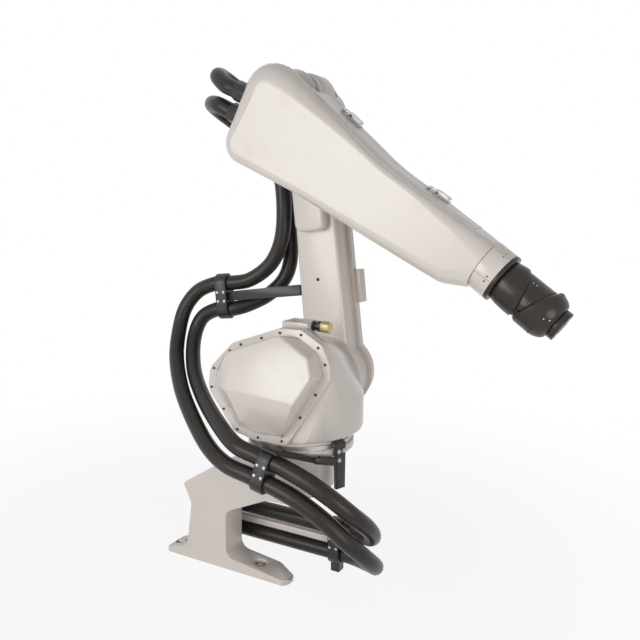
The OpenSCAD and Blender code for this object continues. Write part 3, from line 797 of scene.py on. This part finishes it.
# A latch's parts from the side, in millimetres, and how far each reaches across
LATCH_PARTS = (
    ("latch_plate", [(0, 0.3), (75, 0.3), (75, 3), (0, 3)], [(-22, 22)]),
    ("latch_keeper", [(-22, 0.3), (-12, 0.3), (-12, 8), (-17, 10), (-22, 8)], [(-15, 15)]),
    ("latch_link", [(-19, 6), (12, 8), (12, 11), (-19, 9)], [(-19, -15.5), (15.5, 19)]),
    ("latch_barrel", ring(12, 9, 6.5), [(-19, 19)]),
    ("latch_lever", [(10, 10), (20, 13), (64, 14), (71, 9), (74, 10.5), (71, 16), (65, 18),
                     (18, 17), (9, 15)], [(-14, 14)]),
)


def collar_place(along, turn, radius):
    """A place on the collar: millimetres along it, degrees round it from the near side, and out."""
    turn = math.radians(turn)
    out = FORE_PLACE.to_3x3() @ Vector((0, -math.cos(turn), math.sin(turn)))
    middle = FORE_PLACE @ (Vector((along, 0, COLLAR_DROP)) / 1000)
    way = FORE_PLACE.to_3x3() @ Vector((1, 0, 0))
    return placed(middle + out * radius / 1000, out, out.cross(way))


class ROBOT_OT_forearm(RobotStep, bpy.types.Operator):
    """Round the forearm's shell, its lid, latches and collar"""
    bl_idname = "robot.forearm"
    bl_label = "Forearm"
    # Faces of a flat side: how far out they lie, and how near they are to level with it
    side_from = 0.08
    level = 0.999
    slit_size = (0.080, 0.0034, 0.008)
    # The collar's screws: millimetres along, degrees round and millimetres sunk
    screw_along = 10
    screw_turn = 6
    screw_sunk = 1
    screw_r = 0.0028
    screw_h = 0.0024
    latch_edge = 0.0008

    def execute(self, context):
        edges = context.scene.robot_edges
        shell = copy_of("forearm_shell", "forearm", 0.3)
        for side in (-1, 1):
            self.mend_side(shell, side)
        soften(shell, edges.small, 2, 42)
        modify(shell, "WEIGHTED_NORMAL", mode="FACE_AREA", weight=100, keep_sharp=True)
        hand_over(shell, "forearm", "white_paint", nodes=["forearm_shell"])
        dress("forearm_lid", "lid", edges.small, 2)
        dress("j3_seat", "pivot_seat", edges.small, 2, 50)
        self.collar(edges)
        latches = joined([self.latch(*spot) for spot in LATCHES], "latches")
        hand_over(latches, "forearm", "bare_steel", nodes=["lid_latches"])
        fittings = copy_of("rear_glands", "rear_fittings")
        soften(fittings, edges.small, 2)
        hand_over(fittings, "forearm", "black_metal", nodes=["rear_glands"])
        return {"FINISHED"}

    def mend_side(self, shell, side):
        """Makes one clean face of a flat side, whose triangles fold over along a sliver."""
        outer = [face for face in shell.data.polygons if side * face.center.y > self.side_from]
        flat = max(outer, key=lambda face: face.area).normal.copy()
        pick_faces(shell, lambda face: (side * face.center.y > self.side_from
                                        and abs(face.normal.dot(flat)) > self.level))
        bpy.ops.mesh.delete(type="ONLY_FACE")
        bpy.ops.mesh.select_mode(type="EDGE")
        bpy.ops.mesh.select_all(action="SELECT")
        bpy.ops.mesh.delete_loose(use_verts=True, use_edges=True)
        bpy.ops.mesh.select_all(action="DESELECT")
        bpy.ops.mesh.select_non_manifold(extend=False, use_wire=False, use_boundary=True,
                                         use_multi_face=False, use_non_contiguous=False,
                                         use_verts=False)
        bpy.ops.mesh.edge_face_add()
        face_outwards()

    def collar(self, edges):
        """The split collar, with its slits and their small screws."""
        collar = copy_of("wrist_collar", "collar")
        soften(collar, edges.flange, 3)
        slits, screws = [], []
        for turn in COLLAR_SLITS:
            slits.append(collar_place(COLLAR_MIDDLE, turn, COLLAR_R))
            screws += [collar_place(COLLAR_MIDDLE + self.screw_along, turn + side * self.screw_turn,
                                    COLLAR_R - self.screw_sunk) for side in (-1, 1)]
        deselect()
        bpy.ops.mesh.primitive_cube_add(size=1, scale=self.slit_size)
        blade = named("slit")
        settle(blade)
        cutter = set_out(blade, slits, "slits")
        modify(collar, "BOOLEAN", operation="DIFFERENCE", object=cutter)
        bpy.data.objects.remove(cutter)
        shade(collar)
        hand_over(collar, "forearm", "white_paint", nodes=["wrist_collar"])
        head = screw("collar_screw", self.screw_r, self.screw_h, 14)
        hand_over(set_out(head, screws, "collar_screws"), "forearm", "black_metal")

    def latch(self, along, across, above, tilt):
        """A draw latch: plate, keeper, side links, barrel and a raised lever."""
        parts = []
        for name, outline, reaches in LATCH_PARTS:
            for near, far in reaches:
                part = slab(name, millimetres(*outline), near / 1000, far / 1000)
                soften(part, self.latch_edge, 2, 40)
                parts.append(part)
        latch = joined(parts, "latch")
        latch.matrix_world = (FORE_PLACE @ Matrix.Translation(Vector((along, across, above)) / 1000)
                              @ Matrix.Rotation(math.radians(tilt), 4, "Y"))
        settle(latch)
        return latch


# Wrist

INSERT_PROFILE = [(30.3, 10), (37, 10), (37, 22.4), (36, 23.2), (32, 23.2), (30.3, 21)]
# Screws of the neck and the elbow: each one's place and the way it faces
NECK_SCREWS = [((1.2340, -0.0410, 1.3286), (0.48, -0.56, 0.68)),
               ((1.2455, -0.0401, 1.3211), (0.49, -0.53, 0.69))]
ELBOW_SCREWS = [((1.2825, -0.0834, 1.2216), (0.33, -0.93, -0.18)),
                ((1.3000, -0.0761, 1.2173), (0.38, -0.92, -0.10))]


class ROBOT_OT_wrist(RobotStep, bpy.types.Operator):
    """Round the wrist's dark housings and its tool flange"""
    bl_idname = "robot.wrist"
    bl_label = "Wrist"
    fine_edge = 0.001
    elbow_edge = 0.011
    screw_r = 0.0025
    screw_h = 0.002

    def execute(self, context):
        edges = context.scene.robot_edges
        band = copy_of("wrist_ring", "wrist_band")
        soften(band, edges.flange, 3)
        hand_over(band, NODE_BODY["wrist_ring"], "wrist_dark", nodes=["wrist_ring"])
        dress("roll_housing", "wrist_barrel", edges.flange, 3)
        dress("roll_neck", "wrist_neck", self.fine_edge, 2)
        dress("elbow", "wrist_elbow", self.elbow_edge, 4, 18)
        dress("tool_flange", "tool_plate", self.fine_edge, 2)
        face = placed(joint_point("tool_turn"), joint_axis("tool_turn"))
        insert = turned("tool_insert", INSERT_PROFILE, face)
        hand_over(insert, "tool", "bare_steel")
        for name, body, spots in (("neck_screws", "wrist_roll", NECK_SCREWS),
                                  ("elbow_screws", "wrist_bend", ELBOW_SCREWS)):
            head = screw(name[:-1], self.screw_r, self.screw_h, 16)
            places = [placed(place, out) for place, out in spots]
            hand_over(set_out(head, places, name), body, "bare_steel")
        return {"FINISHED"}


# Hoses

def on_forearm(s, y, z):
    """A point of the forearm in metres from millimetres along, across and above the third axis."""
    return FORE_PLACE @ (Vector((s, y, z)) / 1000)


# The ways that the hoses take through their clamps and glands, and their straight runs there
TURRET_WAY = Vector((0.98, 0, -0.2))
ARM_WAY = Vector((0.96, 0.2, 0.1))
GLAND_PITCH = FORE_PITCH - math.radians(9)
GLAND_WAY = Vector((math.cos(GLAND_PITCH), 0, -math.sin(GLAND_PITCH)))
TURRET_RUN = 0.060 * TURRET_WAY
ARM_RUN = 0.045 * ARM_WAY
OUTER_RUN = 0.060 * GLAND_WAY
INNER_RUN = 0.075 * GLAND_WAY
# The middles of the clamps and glands, then each hose's route, in millimetres
TURRET_OUTER, TURRET_INNER, ARM_OUTER, ARM_INNER = millimetres(
    (330, -282, 545), (345, -262, 622), (-197, 205, 1205), (-185, 205, 1090))
GLAND_OUTER = on_forearm(-140, -25, -76)
GLAND_INNER = on_forearm(-132, 0, -164)
BASE_UPPER = millimetres((-70, 150, 212), (180, 150, 212), (430, 150, 212))
BASE_LOWER = millimetres((-70, 150, 98), (180, 150, 98), (430, 150, 98))
LOOP_UPPER = [TURRET_INNER, TURRET_INNER + TURRET_RUN] + millimetres(
    (520, -268, 577), (612, -258, 530), (680, -215, 462), (702, -130, 385), (676, -30, 306),
    (610, 70, 242), (525, 140, 215), (470, 150, 212), (430, 150, 212))
LOOP_LOWER = [TURRET_OUTER, TURRET_OUTER + TURRET_RUN] + millimetres(
    (486, -282, 503), (590, -270, 445), (668, -235, 365), (707, -160, 282), (701, -60, 203),
    (642, 50, 140), (545, 130, 104), (470, 150, 98), (430, 150, 98))
RISER_OUTER = [TURRET_OUTER, TURRET_OUTER - TURRET_RUN] + millimetres(
    (155, -274, 578), (34, -230, 622), (-113, -145, 703), (-234, -58, 780), (-334, 36, 872),
    (-383, 108, 961), (-386, 160, 1075), (-328, 185, 1160)) + [ARM_OUTER - ARM_RUN, ARM_OUTER]
RISER_INNER = [TURRET_INNER, TURRET_INNER - TURRET_RUN] + millimetres(
    (190, -258, 658), (50, -180, 702), (-104, -72, 756), (-228, 28, 826), (-302, 112, 908),
    (-324, 164, 985), (-298, 186, 1048)) + [ARM_INNER - ARM_RUN, ARM_INNER]
UPPER_OUTER = [ARM_OUTER, ARM_OUTER + ARM_RUN] + millimetres(
    (-80, 235, 1225), (0, 255, 1280), (50, 262, 1350), (80, 260, 1440), (88, 255, 1560),
    (74, 252, 1690), (42, 248, 1810), (-6, 236, 1912), (-58, 204, 1996), (-95, 142, 2050),
    (-98, 70, 2072), (-62, 2, 2060)) + [GLAND_OUTER - OUTER_RUN, GLAND_OUTER]
UPPER_INNER = [ARM_INNER, ARM_INNER + ARM_RUN] + millimetres(
    (-85, 245, 1115), (-15, 290, 1158), (42, 325, 1222), (70, 337, 1300), (72, 338, 1400),
    (58, 334, 1540), (34, 326, 1650), (-4, 306, 1748), (-62, 266, 1832), (-126, 206, 1900),
    (-160, 138, 1946), (-144, 70, 1966)) + [GLAND_INNER - INNER_RUN, GLAND_INNER]

# Each hose: its solid, its route, the body at each end, and where it starts and stops turning
HOSES = {
    "base_hose_upper": (BASE_UPPER, "base", None, None, None),
    "base_hose_lower": (BASE_LOWER, "base", None, None, None),
    "loop_hose_upper": (LOOP_UPPER, "base", "turret", LOOP_UPPER[-2], LOOP_UPPER[1]),
    "loop_hose_lower": (LOOP_LOWER, "base", "turret", LOOP_LOWER[-2], LOOP_LOWER[1]),
    "riser_hose_outer": (RISER_OUTER, "turret", "lower_arm", RISER_OUTER[3], RISER_OUTER[-2]),
    "riser_hose_inner": (RISER_INNER, "turret", "lower_arm", RISER_INNER[3], RISER_INNER[-2]),
    "upper_hose_outer": (UPPER_OUTER, "lower_arm", "forearm", UPPER_OUTER[7], UPPER_OUTER[-2]),
    "upper_hose_inner": (UPPER_INNER, "lower_arm", "forearm", UPPER_INNER[8], UPPER_INNER[-2]),
}


def smooth_route(route, steps=6):
    """Points on a curve that passes through every point of a route."""
    ends = [2 * route[0] - route[1]] + route + [2 * route[-1] - route[-2]]
    line = []
    for a, b, c, d in zip(ends, ends[1:], ends[2:], ends[3:]):
        for k in range(steps):
            t = k / steps
            line.append(0.5 * (2 * b + (c - a) * t + (2 * a - 5 * b + 4 * c - d) * t ** 2
                               + (3 * b - a - 3 * c + d) * t ** 3))
    return line + [route[-1]]


class ROBOT_OT_hoses(RobotStep, bpy.types.Operator):
    """Lay the hoses along their routes"""
    bl_idname = "robot.hoses"
    bl_label = "Hoses"

    def execute(self, context):
        for node, (route, first, second, start, end) in HOSES.items():
            name = node.replace("hose_", "run_")
            piece = self.lay(context.scene.robot_hoses, name, smooth_route(route))
            put_finish(piece, "hose_rubber")
            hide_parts(node)
            if second:
                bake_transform(piece)
            else:
                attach(piece, first)
        return {"FINISHED"}

    def lay(self, sizes, name, line):
        deselect()
        bpy.ops.curve.primitive_nurbs_path_add()
        piece = named(name)
        curve = piece.data
        curve.splines.clear()
        spline = curve.splines.new("POLY")
        spline.points.add(len(line) - 1)
        for point, place in zip(spline.points, line):
            point.co = (*place, 1)
        curve.twist_mode = "MINIMUM"
        curve.bevel_depth = sizes.radius
        curve.bevel_resolution = sizes.round_steps
        curve.use_fill_caps = True
        only(piece)
        bpy.ops.object.convert(target="MESH")
        piece = named(name)
        shade(piece, 60)
        return piece


# The hanging bracket's outer face, as a turn about the waist and a distance from it, and the
# bolts on it: metres across and up
HANG_ANGLE = math.radians(-20)
HANG_R = 0.240
HANG_BOLTS = ((-0.012, 0.645), (0.012, 0.645), (-0.010, 0.610))


class ROBOT_OT_clamps(RobotStep, bpy.types.Operator):
    """Round the hose clamps and the brackets that carry them"""
    bl_idname = "robot.clamps"
    bl_label = "Hose clamps"
    clamp_r = 0.0443
    bolt_along = 0.015
    bolt_down = 0.020
    clamp_bolt_h = 0.004
    clamp_washer_h = 0.001
    hanger_bolt_h = 0.005
    hanger_washer_h = 0.0015

    def execute(self, context):
        edges, bolts = self.sizes(context)
        for node, name in (("base_hose_clamp", "base_clamp"), ("turret_hose_clamp", "turret_clamp"),
                           ("arm_hose_clamp", "arm_clamp"), ("turret_bracket", "hanger"),
                           ("arm_hose_bar", "arm_bar")):
            dress(node, name, edges.small, 2, 50)
        for name, body, first, second, way in (
                ("base_clamp_bolts", "base", BASE_UPPER[-1], BASE_LOWER[-1], Vector((1, 0, 0))),
                ("turret_clamp_bolts", "turret", TURRET_INNER, TURRET_OUTER, TURRET_WAY),
                ("arm_clamp_bolts", "lower_arm", ARM_OUTER, ARM_INNER, ARM_WAY)):
            bolt = screw(name[:-1], bolts.clamp_r, self.clamp_bolt_h, washer=self.clamp_washer_h,
                         hexagon=True)
            hand_over(set_out(bolt, self.bolt_places(first, second, way), name), body, "bare_steel")
        bolt = screw("hanger_bolt", bolts.hanger_r, self.hanger_bolt_h,
                     washer=self.hanger_washer_h, hexagon=True)
        hand_over(set_out(bolt, self.hanger_places(), "hanger_bolts"), "turret", "bare_steel")
        return {"FINISHED"}

    def bolt_places(self, first, second, way):
        """Two rows of two bolts on each side of a clamp, between its two hoses."""
        middle = (first + second) / 2
        along = way.normalized()
        down = (second - first).normalized()
        out = along.cross(down).normalized()
        return [placed(middle + a * self.bolt_along * along + d * self.bolt_down * down
                       + side * self.clamp_r * out, side * out)
                for a in (-1, 1) for d in (-1, 1) for side in (-1, 1)]

    def hanger_places(self):
        """Bolts on the hanging bracket's outer face."""
        out = Vector((math.cos(HANG_ANGLE), math.sin(HANG_ANGLE), 0))
        across = UP.cross(out)
        return [placed(Vector((WAIST.x, 0, z)) + HANG_R * out + t * across, out, UP)
                for t, z in HANG_BOLTS]


# Plain solids that keep their shape

class ROBOT_OT_plain_parts(RobotStep, bpy.types.Operator):
    """Give the solids that stay as they are their finishes"""
    bl_idname = "robot.plain_parts"
    bl_label = "Plain parts"

    def execute(self, context):
        for node, solid in frame["nodes"].items():
            if not solid.hide_render:
                put_finish(solid, NODE_SLOT[node])
        return {"FINISHED"}


# Studio

def seen_plainly(tree):
    """One where the eye, a reflection or a clear part looks, and nought for light that bounces."""
    rays = tree.nodes.new("ShaderNodeLightPath").outputs
    seen = (Wire(tree, rays["Is Camera Ray"]) + Wire(tree, rays["Is Glossy Ray"])
            + Wire(tree, rays["Is Transmission Ray"]))
    return seen.maths("MINIMUM", seen, 1.0)


class ROBOT_OT_studio(RobotStep, bpy.types.Operator):
    """Set the pale floor, the soft lights, the sky and the camera"""
    bl_idname = "robot.studio"
    bl_label = "Studio"
    floor_r = 14.0
    floor_z = -0.0005
    pale_share = 0.88
    fade_from = 0.7
    fade_to = 3.2
    sensor = 36
    # Each light's place, aim and size
    key_light = ((-1.2, -4.4, 2.1), (0.4, 0, 1.1), 2.8)
    fill_light = ((4.2, -2.6, 0.9), (0.4, 0, 1.0), 2.4)

    def execute(self, context):
        studio = context.scene.robot_studio
        context.scene.view_settings.view_transform = "Standard"
        self.lay_floor(studio)
        self.hang_light("key_light", *self.key_light, studio.key)
        self.hang_light("fill_light", *self.fill_light, studio.fill)
        self.paint_sky(context, studio)
        self.set_camera(context, studio)
        return {"FINISHED"}

    def lay_floor(self, studio):
        deselect()
        bpy.ops.mesh.primitive_circle_add(vertices=64, radius=self.floor_r, fill_type="NGON",
                                          location=(0, 0, self.floor_z))
        floor = named("floor")
        settle(floor)
        finish = Finish("pale floor")
        place = finish.place()
        speck = finish.noise(place, 30.0, 2)
        dim = toned(studio.floor, 0.985)
        finish.surface(base_color=finish.mix(speck, tuple(studio.floor), dim), roughness=0.9)
        self.fade_floor(finish, place)
        floor.data.materials.append(finish.material)

    def fade_floor(self, finish, place):
        """Lets the floor run out into the white sky without an edge and keeps the shadow pale."""
        far = finish.node("ShaderNodeVectorMath", {"operation": "LENGTH"}, {0: place}, "Value")
        white = finish.node("ShaderNodeEmission", None, {"Color": (1, 1, 1, 1), "Strength": 1.0})
        shown = Wire(finish.tree, finish.shader.outputs[0])
        fade = finish.band(far, self.fade_from, self.fade_to)
        share = self.pale_share + fade * (1 - self.pale_share)
        mixed = finish.node("ShaderNodeMixShader", None,
                            {0: share * seen_plainly(finish.tree), 1: shown, 2: white})
        finish.tree.links.new(mixed.socket, finish.tree.nodes["Material Output"].inputs["Surface"])

    def hang_light(self, name, place, aim, size, power):
        deselect()
        bpy.ops.object.light_add(type="AREA", location=place)
        lamp = bpy.context.active_object
        lamp.name = name
        lamp.data.shape = "DISK"
        lamp.data.size = size
        lamp.data.energy = power
        lamp.rotation_mode = "QUATERNION"
        lamp.rotation_quaternion = (Vector(aim) - Vector(place)).to_track_quat("-Z", "Y")

    def paint_sky(self, context, studio):
        sky = bpy.data.worlds.new("studio sky")
        context.scene.world = sky
        sky.use_nodes = True
        tree = sky.node_tree
        strength = seen_plainly(tree) * (1 - studio.sky) + studio.sky
        background = tree.nodes["Background"]
        background.inputs["Color"].default_value = (1, 1, 1, 1)
        plug(tree, background.inputs["Strength"], strength)

    def set_camera(self, context, studio):
        deselect()
        bpy.ops.object.camera_add(location=studio.eye)
        camera = bpy.context.active_object
        camera.name = "photo_view"
        camera.data.lens = studio.lens
        camera.data.sensor_width = self.sensor
        camera.data.sensor_fit = "HORIZONTAL"
        turn = (Matrix.Rotation(studio.yaw, 3, "Z")
                @ Matrix.Rotation(math.pi / 2 - studio.pitch, 3, "X")
                @ Matrix.Rotation(studio.roll, 3, "Z"))
        camera.rotation_mode = "QUATERNION"
        camera.rotation_quaternion = turn.to_quaternion()
        context.scene.camera = camera


class ROBOT_PT_panel(bpy.types.Panel):
    """Lists the robot's dressing steps in their order"""
    bl_idname = "ROBOT_PT_panel"
    bl_label = "Painting robot"
    bl_space_type = "VIEW_3D"
    bl_region_type = "UI"
    bl_category = "Robot"

    def draw(self, context):
        for step in STEPS:
            self.layout.operator(step.bl_idname)
        for group in SETTINGS:
            settings = getattr(context.scene, group)
            for name in settings.__annotations__:
                self.layout.prop(settings, name)


STEPS = (ROBOT_OT_studio, ROBOT_OT_hoses, ROBOT_OT_base, ROBOT_OT_turret, ROBOT_OT_lower_arm,
         ROBOT_OT_forearm, ROBOT_OT_wrist, ROBOT_OT_clamps, ROBOT_OT_plain_parts)
SETTINGS = {
    "robot_colours": RobotColours,
    "robot_edges": EdgeSizes,
    "robot_bolts": BoltSizes,
    "robot_hoses": HoseSizes,
    "robot_studio": StudioSettings,
}


def register():
    for kind in (*SETTINGS.values(), *STEPS, ROBOT_PT_panel):
        bpy.utils.register_class(kind)
    for name, kind in SETTINGS.items():
        setattr(bpy.types.Scene, name, PointerProperty(type=kind))


def unregister():
    for name in SETTINGS:
        delattr(bpy.types.Scene, name)
    for kind in reversed((*SETTINGS.values(), *STEPS, ROBOT_PT_panel)):
        bpy.utils.unregister_class(kind)


def main():
    register()
    bpy.ops.robot.studio()
    bpy.ops.robot.hoses()
    bpy.ops.robot.base()
    bpy.ops.robot.turret()
    bpy.ops.robot.lower_arm()
    bpy.ops.robot.forearm()
    bpy.ops.robot.wrist()
    bpy.ops.robot.clamps()
    bpy.ops.robot.plain_parts()


if __name__ == "__main__":
    main()
